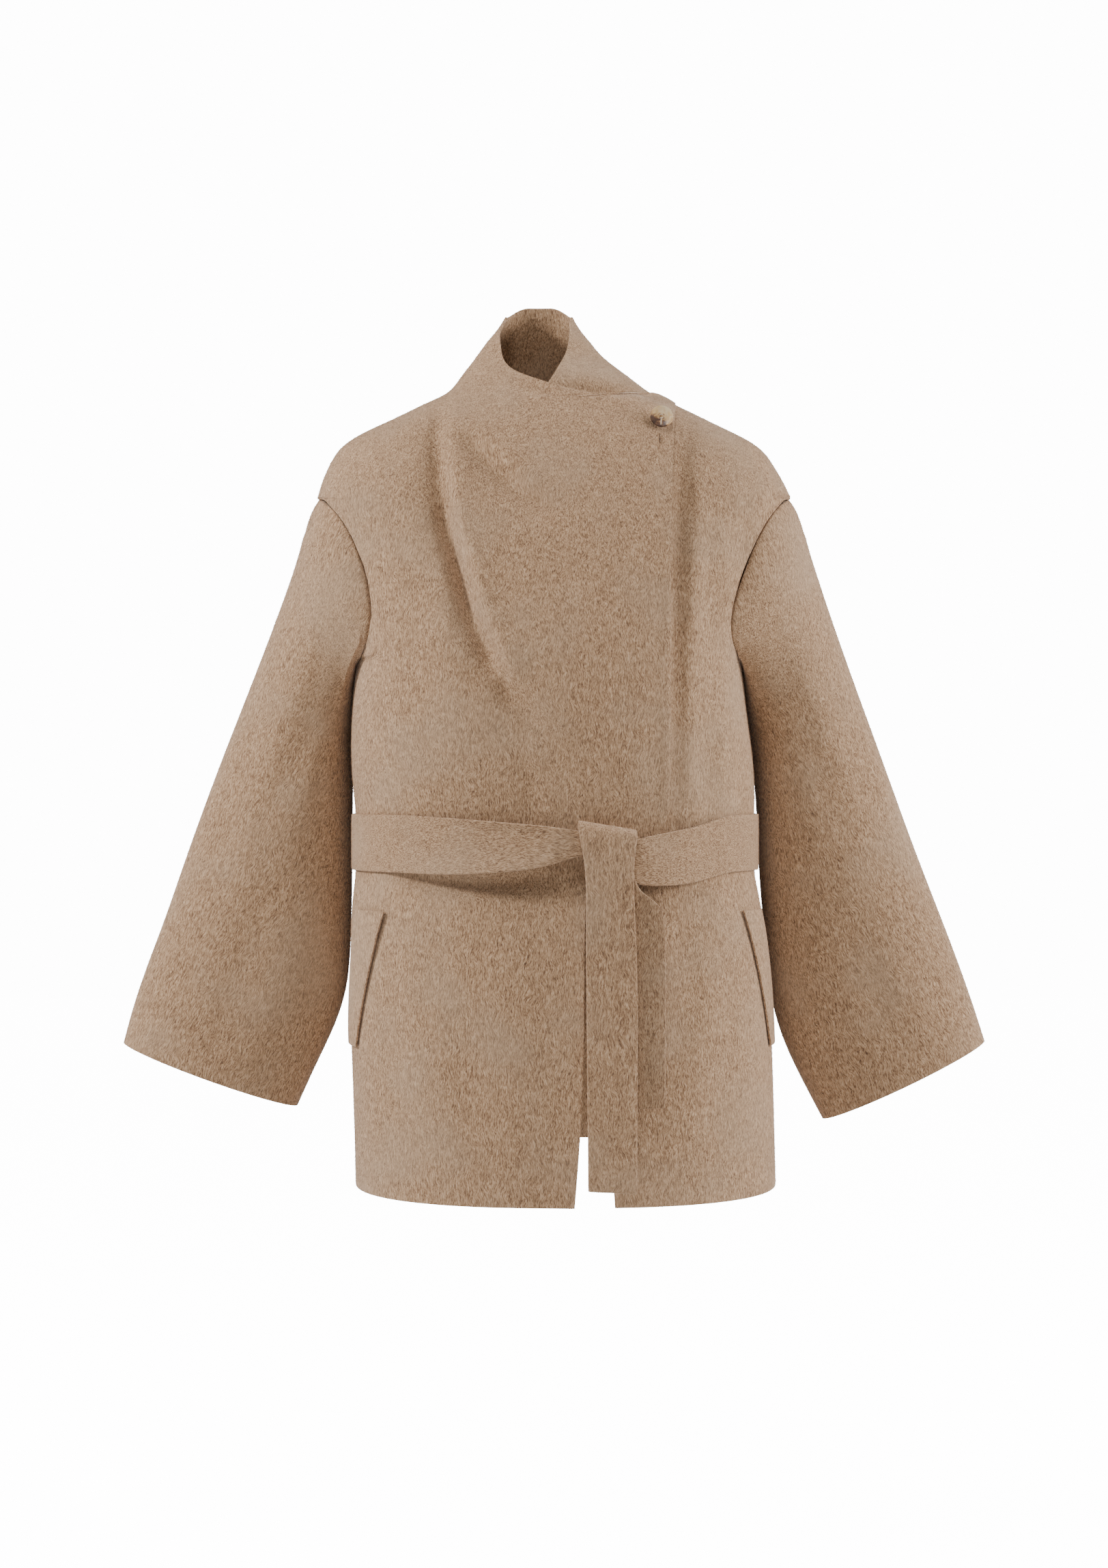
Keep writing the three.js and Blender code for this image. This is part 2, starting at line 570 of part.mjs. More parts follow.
function tail(rows, thickness) {
  const stations = rows.map(({ y, z, left, right, tilt }, i) => {
    const next = rows[Math.min(i + 1, rows.length - 1)];
    const before = rows[Math.max(i - 1, 0)];
    const out = new THREE.Vector3(0, next.z - before.z, before.y - next.y).normalize();
    return { low: new THREE.Vector3(left, y, z), high: new THREE.Vector3(right, y, z - tilt), out };
  });
  return strip(stations, thickness);
}
const tailCloth = 3.4;
add("belt_tail_front", tail(frontTail, tailCloth), wool(colours.belt));
add("belt_tail_back", tail(backTail, -tailCloth), wool(colours.belt));

// The horn button sits at the flap's corner on a thread shank, and tips forward from the sloping shoulder
const buttonPlace = { x: 99, z: -42 };
const buttonTip = 24;
const buttonLift = 5.3;
const shank = { length: 3.9, radius: 1.8, sides: 10 };
const buttonBase = new THREE.Vector3();
const flapOut = new THREE.Vector3();
{
  const angle = angleOf(buttonPlace.x, buttonPlace.z);
  flapOut.copy(bodyNormal(FRONT, angle, buttonPlace.z));
  const point = bodyPoint(FRONT, angle, buttonPlace.z);
  buttonBase.copy(point).addScaledVector(flapOut, flapLift(point));
}
const buttonThick = 4;
const buttonHole = { radius: 1.1, from: 2.3, count: 4, sides: 8 };

// A closed geometry as a solid that can be cut
function solidOf(geometry) {
  const plain = geometry.clone();
  plain.deleteAttribute("normal");
  plain.deleteAttribute("uv");
  const merged = mergeVertices(plain, 1e-4);
  const mesh = new wasm.Mesh({
    numProp: 3,
    vertProperties: merged.attributes.position.array,
    triVerts: new Uint32Array(merged.index.array),
  });
  return new wasm.Manifold(mesh);
}

function geometryOf(solid) {
  const mesh = solid.getMesh();
  const geometry = new THREE.BufferGeometry();
  geometry.setAttribute("position", new THREE.BufferAttribute(mesh.vertProperties, 3));
  geometry.setIndex(new THREE.BufferAttribute(mesh.triVerts, 1));
  geometry.computeVertexNormals();
  return geometry;
}

function buttonGeometry() {
  const radius = buttonAcross / 2;
  const profile = [
    [0, 0],
    [radius * 0.7, 0],
    [radius * 0.95, 1],
    [radius, 2.4],
    [radius * 0.94, buttonThick],
    [radius * 0.8, buttonThick - 0.3],
    [radius * 0.66, 2.7],
    [0, 2.4],
  ].map(([r, z]) => new THREE.Vector2(r, z));
  const body = new THREE.LatheGeometry(profile, 28).rotateX(Math.PI / 2);
  let solid = solidOf(body);
  for (let k = 0; k < buttonHole.count; k += 1) {
    const turn = Math.PI / 4 + (k * Math.PI * 2) / buttonHole.count;
    const { radius, from, sides } = buttonHole;
    const drill = new THREE.CylinderGeometry(radius, radius, 3 * buttonThick, sides)
      .rotateX(Math.PI / 2)
      .translate(from * Math.cos(turn), from * Math.sin(turn), 0);
    solid = solid.subtract(solidOf(drill));
  }
  return geometryOf(solid);
}

// Places a geometry that was drawn along +Z over the flap, tipped forward by an angle
function onFlap(geometry, lift, tip) {
  const forward = new THREE.Vector3(0, -1, 0);
  const hinge = flapOut.clone().cross(forward).normalize();
  const out = flapOut.clone().applyAxisAngle(hinge, radians(tip));
  const turn = new THREE.Quaternion().setFromUnitVectors(new THREE.Vector3(0, 0, 1), out);
  const place = buttonBase.clone().addScaledVector(flapOut, lift);
  return geometry.applyQuaternion(turn).translate(place.x, place.y, place.z);
}
const horn = new THREE.MeshStandardMaterial({ color: colours.horn, roughness: 0.3, metalness: 0 });
add("button", onFlap(buttonGeometry(), buttonLift, buttonTip), horn);
const shankGeometry = new THREE.CylinderGeometry(shank.radius, shank.radius, shank.length, shank.sides);
shankGeometry.rotateX(Math.PI / 2);
add("button_thread", onFlap(shankGeometry, buttonLift / 2, buttonTip / 2), wool(colours.thread));

export default jacket;
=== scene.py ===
# %% [markdown]
# # A belted wrap jacket in brushed wool
# The jacket is shown filled out, as if worn, with nobody in it. The solids of its panels come from a packed
# CAD model, and this script dresses them: softer edges, folds in the cloth, sewing, a brushed wool finish,
# short loose hairs, a horn button. One Blender unit is a metre, +Z is up and -Y is the jacket's front.

# %% Load the frame
import math

import bmesh
import bpy
import numpy as np
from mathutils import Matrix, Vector
from mathutils.bvhtree import BVHTree


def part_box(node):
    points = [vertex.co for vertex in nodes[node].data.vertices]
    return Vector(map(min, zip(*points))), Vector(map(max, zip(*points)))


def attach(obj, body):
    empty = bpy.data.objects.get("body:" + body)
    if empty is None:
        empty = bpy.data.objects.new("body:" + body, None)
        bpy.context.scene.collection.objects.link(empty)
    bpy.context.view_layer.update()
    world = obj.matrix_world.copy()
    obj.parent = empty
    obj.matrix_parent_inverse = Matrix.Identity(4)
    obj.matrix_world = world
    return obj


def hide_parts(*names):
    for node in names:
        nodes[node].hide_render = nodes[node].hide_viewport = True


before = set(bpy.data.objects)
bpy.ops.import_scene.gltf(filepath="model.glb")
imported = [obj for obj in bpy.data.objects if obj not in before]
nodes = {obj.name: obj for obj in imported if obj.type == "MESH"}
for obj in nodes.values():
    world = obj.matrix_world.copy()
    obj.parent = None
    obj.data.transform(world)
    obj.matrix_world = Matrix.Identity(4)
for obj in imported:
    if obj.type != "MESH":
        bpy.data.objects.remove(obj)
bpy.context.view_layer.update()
MM = 0.001
print("solids to dress:", ", ".join(sorted(nodes)))

# %% [markdown]
# ## The camera
# The photograph was taken from about two metres with a normal lens, level with the waist. The camera is set
# first, so that each piece can be judged from the same place as it is made.

# %% Camera
CAMERA_AT = (0.0, -2.140, -0.381)
LENS = 50.0
SENSOR_WIDTH = 36.0
CLIP_START = 0.05
bpy.ops.object.camera_add(location=CAMERA_AT, rotation=(math.pi / 2, 0, 0))
camera = bpy.context.object
camera.name = "camera_front"
camera.data.lens = LENS
camera.data.sensor_fit = "AUTO"
camera.data.sensor_width = SENSOR_WIDTH
camera.data.clip_start = CLIP_START
bpy.context.scene.camera = camera
print("camera at", CAMERA_AT, "with a lens of", LENS, "mm")

# %% [markdown]
# ## Small helpers
# Operators act on whatever is selected, so every step begins with nothing selected but its own piece.


# %% Selecting
def take(piece):
    """Leaves only this piece selected and active."""
    bpy.ops.object.select_all(action="DESELECT")
    piece.select_set(True)
    bpy.context.view_layer.objects.active = piece
    return piece


def apply(piece, kind, **settings):
    """Adds a modifier with these settings and applies it."""
    take(piece)
    modifier = piece.modifiers.new(kind.lower(), kind)
    for name, value in settings.items():
        setattr(modifier, name, value)
    bpy.ops.object.modifier_apply(modifier=modifier.name)
    return piece


def triangles(piece):
    return sum(len(p.vertices) - 2 for p in piece.data.polygons)


# %% [markdown]
# ## From solid to cloth
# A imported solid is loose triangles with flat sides. A copy of it is merged into one skin, its triangles are
# paired into four-sided faces, and its edges are rounded and subdivided, so that it reads as thick felted
# wool with turned edges. The CAD solid itself stays as it is and is only hidden.

# %% Reading a solid
MERGE_WITHIN = 0.00002
FLAT_ENOUGH, SQUARE_ENOUGH = math.radians(35), math.radians(60)


def merged_copy(node, name):
    """A copy of a CAD node's mesh, merged into one skin of four-sided faces."""
    piece = bpy.data.objects.new(name, nodes[node].data.copy())
    bpy.context.scene.collection.objects.link(piece)
    piece.data.materials.clear()
    take(piece)
    bpy.ops.object.mode_set(mode="EDIT")
    bpy.ops.mesh.select_all(action="SELECT")
    bpy.ops.mesh.remove_doubles(threshold=MERGE_WITHIN)
    bpy.ops.mesh.tris_convert_to_quads(face_threshold=FLAT_ENOUGH, shape_threshold=SQUARE_ENOUGH)
    bpy.ops.object.mode_set(mode="OBJECT")
    if piece.data.has_custom_normals:
        bpy.ops.mesh.customdata_custom_splitnormals_clear()
    return piece


def surface_of(names):
    """One search tree over the solids with these names."""
    corners, faces = [], []
    for name in names:
        mesh = nodes[name].data
        faces += [[len(corners) + v for v in polygon.vertices] for polygon in mesh.polygons]
        corners += [vertex.co.copy() for vertex in mesh.vertices]
    return BVHTree.FromPolygons(corners, faces)


# %% [markdown]
# ## Seams and turned edges
# Where two panels are sewn together their edges must stay tight, so those edges are creased and subdivision
# leaves them where they are. A free edge, such as a hem, a cuff or the collar, is turned and pressed on the
# real coat, so here it is bevelled round. Belts are folded double and rounder still.

# %% Copying a solid
SEAM_REACH = 0.0024
SWELL_REACH, SEAM_SWELL = 0.0022, 0.00045
TURNED_EDGE, WELT_EDGE, BELT_EDGE, BUTTON_EDGE = 0.0009, 0.0006, 0.0012, 0.0002


def mark_edges(piece, partners, sharp):
    """Creases the edges that lie at a seam, and gives the other sharp edges a bevel."""
    others = surface_of(partners) if partners else None
    mesh = bmesh.new()
    mesh.from_mesh(piece.data)
    crease = mesh.edges.layers.float.new("crease_edge")
    bevel = mesh.edges.layers.float.new("bevel_weight_edge")
    for edge in mesh.edges:
        if len(edge.link_faces) != 2 or edge.calc_face_angle() < math.radians(sharp):
            continue
        middle = (edge.verts[0].co + edge.verts[1].co) / 2
        at_seam = others and others.find_nearest(middle, SEAM_REACH)[0] is not None
        edge[crease if at_seam else bevel] = 1.0
    mesh.to_mesh(piece.data)
    mesh.free()


def close_seams(piece, partners):
    """Swells the cloth next to a seam by a hair, so that sewn edges meet."""
    others = surface_of(partners)
    near = piece.vertex_groups.new(name="seam")
    for vertex in piece.data.vertices:
        if others.find_nearest(vertex.co, SWELL_REACH)[0] is not None:
            near.add([vertex.index], 1.0, "REPLACE")
    apply(piece, "DISPLACE", direction="NORMAL", vertex_group="seam", mid_level=0, strength=SEAM_SWELL)
    piece.vertex_groups.clear()


def cloth_from(node, name, partners=(), edge=TURNED_EDGE, levels=2, sharp=50):
    """A soft, rounded copy of a CAD node's mesh."""
    piece = merged_copy(node, name)
    mark_edges(piece, partners, sharp)
    if edge:
        apply(piece, "BEVEL", width=edge, segments=2, limit_method="WEIGHT")
    apply(piece, "SUBSURF", levels=levels, render_levels=levels)
    if partners:
        close_seams(piece, partners)
    take(piece)
    bpy.ops.object.shade_smooth()
    return piece


# %% [markdown]
# ## Folds
# Thick wool doesn't crumple: it sinks in long soft troughs with a rounded ridge beside them. A fold is
# drawn on the front as a path with a depth, and each point of the cloth near it is weighted by its distance.
# A Displace modifier moves the cloth by that weight. Both faces of the wall move together, so it keeps its
# thickness.

# %% Folding cloth
FOLD_FADE = 0.6
RIDGE_AT, RIDGE_SPREAD = 1.9, 1.1


def near_path(points, path):
    """Signed distance of each point to a path of (across, up) places, and its share of the way along."""
    path = np.array(path, float) * MM
    best = np.full(len(points), 1e9)
    side = np.ones(len(points))
    share = np.zeros(len(points))
    spans = np.linalg.norm(np.diff(path, axis=0), axis=1)
    before = np.concatenate([[0], np.cumsum(spans)]) / spans.sum()
    for k, span in enumerate(spans):
        start, along = path[k], (path[k + 1] - path[k]) / span
        there = points - start
        run = np.clip(there @ along, 0, span)
        off = there - run[:, None] * along
        far = np.linalg.norm(off, axis=1)
        closer = far < best
        best = np.where(closer, far, best)
        side = np.where(closer, np.sign(along[0] * there[:, 1] - along[1] * there[:, 0]), side)
        share = np.where(closer, before[k] + run / span * (before[k + 1] - before[k]), share)
    return best * side, share


def coordinates(piece):
    flat = np.zeros(len(piece.data.vertices) * 3)
    piece.data.vertices.foreach_get("co", flat)
    return flat.reshape(-1, 3)


def press_folds(piece, folds, axis="Y", where=None):
    """Presses folds into a piece along an axis. A fold is its path, depth in mm, spread in mm and ridge."""
    points = coordinates(piece)
    flat = points[:, (0, 2)]
    depth = np.zeros(len(points))
    for path, deep, spread, ridge in folds:
        off, share = near_path(flat, path)
        fade = np.sin(np.pi * np.clip(share, 0, 1)) ** FOLD_FADE
        width = spread * MM
        trough = np.exp(-((off / width) ** 2))
        crest = ridge * np.exp(-(((off - RIDGE_AT * width) / (RIDGE_SPREAD * width)) ** 2))
        depth += deep * MM * fade * (trough - crest)
    if where is not None:
        depth *= where(points)
    if not np.any(depth):
        return piece
    most = np.abs(depth).max()
    group = piece.vertex_groups.new(name="folds")
    for index, value in enumerate(0.5 + 0.5 * depth / most):
        group.add([index], float(value), "REPLACE")
    apply(piece, "DISPLACE", direction=axis, vertex_group="folds", mid_level=0, strength=2 * most)
    apply(piece, "DISPLACE", direction=axis, mid_level=0, strength=-most)
    piece.vertex_groups.clear()
    return piece


# %% [markdown]
# ## The panels
# The right front is the outer one: it crosses to the left shoulder and makes most of what is seen. Its main
# drape is in the solid already. Here that drape is pressed deeper and gets smaller folds beside it. Then
# the flap's corner is laid down onto the shoulder, and the shoulder's end is drawn in to meet the sleeve, so
# that the outline runs on smoothly.

# %% Right front
FLAP_TOP = [(-20, 4), (-9, 0), (7, -7), (27, -12), (47, -14.5), (60, -16), (71, -15), (81, -9), (92, -12)]
FLAP_SIDE = [(112, -20), (112, -48), (107, -193), (105, -300), (104, -440)]
UNDER_BELT = [(-150, -464), (-112, -470), (-70, -473), (-30, -471), (0, -466)]
FRONT_FOLDS = [
    ([(-110, -10), (-110, -61), (-102, -137), (-77, -225), (-45, -294), (8, -350)], 7.6, 8.5, 0.8),
    ([(-95, -44), (-70, -72), (-42, -100), (0, -134)], 4.5, 10, 0.6),
    (FLAP_TOP, -3.0, 7, 0),
    (FLAP_SIDE, -2.2, 6, 0),
    ([(88, 0), (85, -30), (80, -90)], -1.8, 4.5, 0),
    (UNDER_BELT, 6.0, 9, 0.3),
    ([(-60, -150), (-40, -260), (-10, -340)], 1.2, 14, 0.4),
    ([(-120, -130), (-128, -250), (-110, -360)], 1.6, 16, 0.3),
    ([(-40, -330), (-22, -380), (-18, -425)], 2.0, 9, 0.4),
    ([(-150, -480), (-158, -600), (-150, -740)], 2.0, 20, 0.4),
    ([(-70, -490), (-80, -600), (-72, -735)], 1.6, 18, 0.3),
    ([(60, -150), (66, -260), (50, -390)], 1.4, 14, 0.3),
]
SHOULDER_IN, COLLAR_DOWN = 2.4, 2.5
FLAP_CORNER = [(68, 6), (86, 0), (102, -6), (118, -13), (140, -24)]
SHOULDER_END = {"right": [(-238, -70), (-238, -132)], "left": [(238, -70), (238, -132)]}
COLLAR_END = {"right": [(-62, 84), (-36, 84)], "left": [(5, 84), (31, 84)]}
front_right = cloth_from("front_right", "right_front_cloth", ("back", "sleeve_right"))
press_folds(front_right, FRONT_FOLDS)
press_folds(front_right, [(FLAP_CORNER, -6.5, 10, 0), (COLLAR_END["right"], -COLLAR_DOWN, 5, 0)], axis="Z")
press_folds(front_right, [(SHOULDER_END["right"], SHOULDER_IN, 12, 0)], axis="X")
print("right front:", triangles(front_right), "triangles")

# %% Left front and back
LEFT_FOLDS = [
    ([(121, -40), (117, -110), (113, -200), (111, -300), (110, -430)], 5.5, 10, 0.5),
    ([(140, -130), (152, -250), (148, -380)], 2.0, 12, 0.5),
    ([(150, -480), (162, -600), (150, -745)], 2.2, 18, 0.4),
    ([(105, -500), (112, -620), (100, -720)], 1.8, 14, 0.4),
]
BACK_FOLDS = [
    ([(-120, -110), (-112, -250), (-90, -390)], 2.4, 20, 0.5),
    ([(118, -120), (108, -260), (98, -400)], 2.2, 18, 0.4),
    ([(-20, -330), (-12, -390), (-10, -430)], 2.2, 10, 0.4),
    ([(-130, -480), (-136, -610), (-120, -750)], 2.2, 18, 0.4),
    ([(30, -480), (40, -620), (34, -740)], 1.8, 18, 0.4),
    ([(140, -490), (138, -610), (146, -750)], 2.0, 18, 0.4),
]
FRONT_STARTS, FRONT_GROWS = 0.004, 0.03


def front_share(at):
    """0 on the shoulder seam, growing to 1 on the chest."""
    return np.clip((-at[:, 1] - FRONT_STARTS) / FRONT_GROWS, 0, 1)


front_left = cloth_from("front_left", "left_front_cloth", ("back", "sleeve_left"))
press_folds(front_left, LEFT_FOLDS)
press_folds(front_left, [(FLAP_TOP, 9.0, 15, 0)], where=front_share)
press_folds(front_left, [(COLLAR_END["left"], -COLLAR_DOWN, 5, 0)], axis="Z")
press_folds(front_left, [(SHOULDER_END["left"], -SHOULDER_IN, 12, 0)], axis="X")
back = cloth_from("back", "back_cloth", ("front_right", "front_left", "sleeve_right", "sleeve_left"))
press_folds(back, BACK_FOLDS)
shoulder_ends = [(SHOULDER_END["right"], SHOULDER_IN, 12, 0), (SHOULDER_END["left"], -SHOULDER_IN, 12, 0)]
press_folds(back, shoulder_ends, axis="X")
print("left front and back:", triangles(front_left), triangles(back), "triangles")

# %% [markdown]
# ## The sleeves
# Wide straight sleeves hang from a dropped shoulder. Long shallow folds run down each from the underarm and
# past the elbow, and the two sleeves aren't mirror images. The sleeve's head is eased out a little at the
# top, where it meets the shoulder's end.

# %% Sleeves
SLEEVE_FOLDS = {
    "right": [
        ([(-215, -230), (-240, -330), (-300, -450)], 2.6, 14, 0.5),
        ([(-262, -250), (-300, -360), (-350, -520)], 2.0, 16, 0.4),
        ([(-270, -470), (-300, -560), (-330, -650)], 1.8, 18, 0.4),
    ],
    "left": [
        ([(212, -240), (244, -340), (290, -440)], 2.4, 14, 0.5),
        ([(258, -230), (292, -350), (330, -470)], 2.2, 18, 0.4),
        ([(280, -500), (312, -590), (350, -660)], 1.6, 16, 0.4),
    ],
}
HEAD_OUT = {"right": -1.3, "left": 1.3}
BACK_SHARE = -0.8
sleeves = {}
for side, folds in SLEEVE_FOLDS.items():
    sleeve = cloth_from(f"sleeve_{side}", f"{side}_sleeve_cloth", (f"front_{side}", "back"))
    press_folds(sleeve, folds, where=lambda at: np.where(at[:, 1] < 0, 1.0, BACK_SHARE))
    press_folds(sleeve, [(SHOULDER_END[side], HEAD_OUT[side], 16, 0)], axis="X")
    sleeves[side] = sleeve
    print(side, "sleeve:", triangles(sleeve), "triangles")

# %% [markdown]
# ## Pocket welts and belt
# The belt is folded double, so it is thicker and its edges are rounder. It is tied in front: a loop with
# one long tail in front and a shorter one behind.

# %% Welts and belt
welts = {
    side: cloth_from(f"pocket_welt_{side}", f"{side}_pocket_welt", edge=WELT_EDGE)
    for side in ("right", "left")
}
belt_band = cloth_from("belt_band", "belt_round_waist", edge=BELT_EDGE)
press_folds(belt_band, [
    ([(-160, -458), (-112, -464), (-70, -467), (-30, -464), (10, -455)], -6.0, 16, 0),
    ([(-90, -420), (-50, -425), (-5, -432)], 2.0, 7, 0.6),
    ([(80, -430), (110, -440), (150, -436)], 2.0, 8, 0.6),
])
belt_front = cloth_from("belt_tail_front", "belt_knot_and_front_tail", edge=BELT_EDGE, sharp=60)
belt_back = cloth_from("belt_tail_back", "belt_back_tail", edge=BELT_EDGE, sharp=60)
print("belt:", triangles(belt_band), triangles(belt_front), triangles(belt_back), "triangles")

# %% [markdown]
# ## The button
# A horn button is turned on a lathe: a raised rim round a shallow dish, with four drilled holes. The solid
# has that form, and here its edges are rounded until they catch a line of light.

# %% Button and thread
button = cloth_from("button", "horn_button", edge=BUTTON_EDGE, levels=1, sharp=35)
thread = cloth_from("button_thread", "button_thread_shank", edge=0, levels=1)
print("button:", triangles(button), "triangles")

# %% [markdown]
# ## Sewing that shows
# The thread crosses between the button's holes in two short bars, side by side, and a third strand runs down
# to the lower rim. The end of the buttonhole shows just below the button as a short upright slit with a row
# of fine stitches on each side. The slit is a thin dark strand laid on the cloth: the cut is real, and its
# dark is painted shadow.

# %% A strand of thread
END_WIDTH, MIDDLE_SWELL = 0.55, 0.45


def sewn_strand(name, start, end, radius, bow, sides=8, rings=6):
    """A thin thread between two points, bowed outwards in the middle."""
    start, end = Vector(start), Vector(end)
    run = end - start
    bpy.ops.object.select_all(action="DESELECT")
    bpy.ops.mesh.primitive_cylinder_add(vertices=sides, radius=radius, depth=run.length)
    strand = bpy.context.object
    strand.name = name
    bpy.ops.object.mode_set(mode="EDIT")
    for ring in range(1, rings):
        bpy.ops.mesh.select_all(action="SELECT")
        height = (ring / rings - 0.5) * run.length
        bpy.ops.mesh.bisect(plane_co=(0, 0, height), plane_no=(0, 0, 1))
    bpy.ops.object.mode_set(mode="OBJECT")
    turn = run.to_track_quat("Z", "Y").to_matrix()
    for vertex in strand.data.vertices:
        share = vertex.co.z / run.length + 0.5
        taper = END_WIDTH + MIDDLE_SWELL * math.sin(math.pi * share)
        flat = Vector((vertex.co.x * taper, vertex.co.y * taper, vertex.co.z))
        vertex.co = (start + end) / 2 + turn @ flat + Vector(bow) * math.sin(math.pi * share)
    bpy.ops.object.shade_smooth()
    return strand


def join(pieces, name):
    """One object with this name, made of all the pieces."""
    take(pieces[0])
    for piece in pieces:
        piece.select_set(True)
    bpy.ops.object.join()
    bpy.context.object.name = name
    return bpy.context.object


# %% Thread bars
button_low, button_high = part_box("button")
BUTTON_MIDDLE = (button_low + button_high) / 2
button_points = coordinates(button)
around = button_points - button_points.mean(0)
BUTTON_OUT = Vector(np.linalg.svd(around, full_matrices=False)[2][2])
BUTTON_OUT *= -1 if BUTTON_OUT.y > 0 else 1
BUTTON_SIDE = BUTTON_OUT.cross(Vector((0, 0, 1))).normalized()
BUTTON_UP = BUTTON_SIDE.cross(BUTTON_OUT).normalized()


def on_button(across, up, out):
    """A place on the button's face, in mm from its middle."""
    return BUTTON_MIDDLE + (BUTTON_SIDE * across + BUTTON_UP * up + BUTTON_OUT * out) * MM


HOLE_FROM = 1.65
BAR_UP, BAR_RADIUS, BAR_BOW = 0.1, 0.45, 0.9
TAIL_RADIUS, TAIL_BOW = 0.5, 1.6
strands = []
for height in (HOLE_FROM, -HOLE_FROM):
    bar_ends = on_button(-HOLE_FROM, height, BAR_UP), on_button(HOLE_FROM, height, BAR_UP)
    strands.append(sewn_strand("bar", *bar_ends, BAR_RADIUS * MM, BUTTON_OUT * BAR_BOW * MM))
tail_ends = on_button(0.4, -HOLE_FROM, 0.3), on_button(1.2, -10.6, 0.2)
strands.append(sewn_strand("strand", *tail_ends, TAIL_RADIUS * MM, BUTTON_OUT * TAIL_BOW * MM))
button_sewing = join(strands, "button_sewing")
print("button sewing:", triangles(button_sewing), "triangles")

# %% Buttonhole
flap_surface = BVHTree.FromObject(front_right, bpy.context.evaluated_depsgraph_get())
WELL_IN_FRONT = -0.4


def on_flap(x, z, out=0.0):
    """The point of the right front's outer face seen from the front at (x, z), in mm."""
    start = Vector((x * MM, WELL_IN_FRONT, z * MM))
    point, normal, _, _ = flap_surface.ray_cast(start, Vector((0, 1, 0)))
    return point + normal * out * MM, normal


SLIT_X, SLIT_TOP, SLIT_BOTTOM, STITCHES = 99.5, -51, -60.5, 9
STITCH_FROM, STITCH_TO, STITCH_DROP = 0.25, 1.5, 0.2
STITCH_RADIUS, STITCH_BOW, SLIT_RADIUS, SLIT_UP = 0.42, 0.35, 0.3, 0.05
stitches = []
for step in range(STITCHES):
    height = SLIT_TOP + (SLIT_BOTTOM - SLIT_TOP) * step / (STITCHES - 1)
    for side in (-1, 1):
        inner, out = on_flap(SLIT_X + side * STITCH_FROM, height, 0.15)
        outer, _ = on_flap(SLIT_X + side * STITCH_TO, height - STITCH_DROP, -0.1)
        bow = out * STITCH_BOW * MM
        stitches.append(sewn_strand("stitch", inner, outer, STITCH_RADIUS * MM, bow, sides=6, rings=3))
buttonhole_stitches = join(stitches, "buttonhole_stitches")
# The slit is a thin dark strand laid on the cloth, a painted shadow of the cut.
slit_ends = [on_flap(SLIT_X, height, SLIT_UP)[0] for height in (SLIT_TOP, SLIT_BOTTOM)]
buttonhole_slit_shadow = sewn_strand("buttonhole_slit_shadow", *slit_ends, SLIT_RADIUS * MM, (0, 0, 0))
print("buttonhole:", triangles(buttonhole_stitches), "triangles of stitches")

# %% [markdown]
# ## Materials
# A shader is written as sums in Python. `Value` wraps a socket, and each operator adds a Math node. Other
# nodes come from one method, `node`, that takes the type, the settings and the values of its sockets.

# %% Shader sums
class Value:
    """One output socket, with Python's operators."""

    def __init__(self, shader, socket):
        self.shader, self.socket = shader, socket

    def math(self, operation, *others):
        values = dict(enumerate((self, *others)))
        return self.shader.node("ShaderNodeMath", {"operation": operation}, values)

    def __add__(self, other):
        return self.math("ADD", other)

    __radd__ = __add__

    def __mul__(self, other):
        return self.math("MULTIPLY", other)

    __rmul__ = __mul__

    def __sub__(self, other):
        return self.math("SUBTRACT", other)

    def __rsub__(self, other):
        return self.shader.node("ShaderNodeMath", {"operation": "SUBTRACT"}, {0: other, 1: self})

    def step(self, low, high):
        """0 below low, 1 above high, and smooth between."""
        settings = {"interpolation_type": "SMOOTHSTEP"}
        return self.shader.node("ShaderNodeMapRange", settings, {0: self, 1: low, 2: high})


class Shader:
    """A material and the nodes in it."""

    def __init__(self, name):
        self.material = bpy.data.materials.new(name)
        self.material.use_nodes = True
        self.tree = self.material.node_tree
        self.surface = self.tree.nodes["Principled BSDF"]

    def node(self, kind, settings=None, sockets=None, output=0):
        """A new node: its settings are set first, then its sockets get their values or links."""
        made = self.tree.nodes.new(kind)
        for name, value in (settings or {}).items():
            if name == "stops":
                ramp = made.color_ramp.elements
                while len(ramp) < len(value):
                    ramp.new(0.5)
                for stop, (place, colour) in zip(ramp, value):
                    stop.position, stop.color = place, (*colour, 1)
            else:
                setattr(made, name, value)
        for name, value in (sockets or {}).items():
            if isinstance(value, Value):
                self.tree.links.new(value.socket, made.inputs[name])
            else:
                made.inputs[name].default_value = value
        return Value(self, made.outputs[output])

    def feed(self, **values):
        """Sets or links sockets of the shader itself."""
        for name, value in values.items():
            socket = self.surface.inputs[name.replace("_", " ")]
            if isinstance(value, Value):
                self.tree.links.new(value.socket, socket)
            else:
                socket.default_value = value
        return self

    def mix(self, share, low, high):
        """Colour low where share is 0, colour high where it is 1."""
        settings = {"data_type": "RGBA"}
        colours = {
            0: share,
            6: low if isinstance(low, Value) else (*low, 1),
            7: high if isinstance(high, Value) else (*high, 1),
        }
        return self.node("ShaderNodeMix", settings, colours, output=2)

    def noise(self, where, scale, detail=2.0, rough=0.5, twist=0.0):
        sockets = {"Vector": where, "Scale": scale, "Detail": detail, "Roughness": rough}
        return self.node("ShaderNodeTexNoise", {}, {**sockets, "Distortion": twist})


# %% [markdown]
# ## Brushed wool
# Coat wool is spun from fibres of several browns and then brushed, so that a nap of hairs lies one way.
# Seen close it is short streaks of cream, beige and brown along the nap, a few millimetres long and a
# fraction of a millimetre wide, over patches of a greyer shade a few centimetres across. Noise stretched
# along the nap gives the streaks, and its height gives the bump. A faint sheen stands for the hairs' soft
# light.

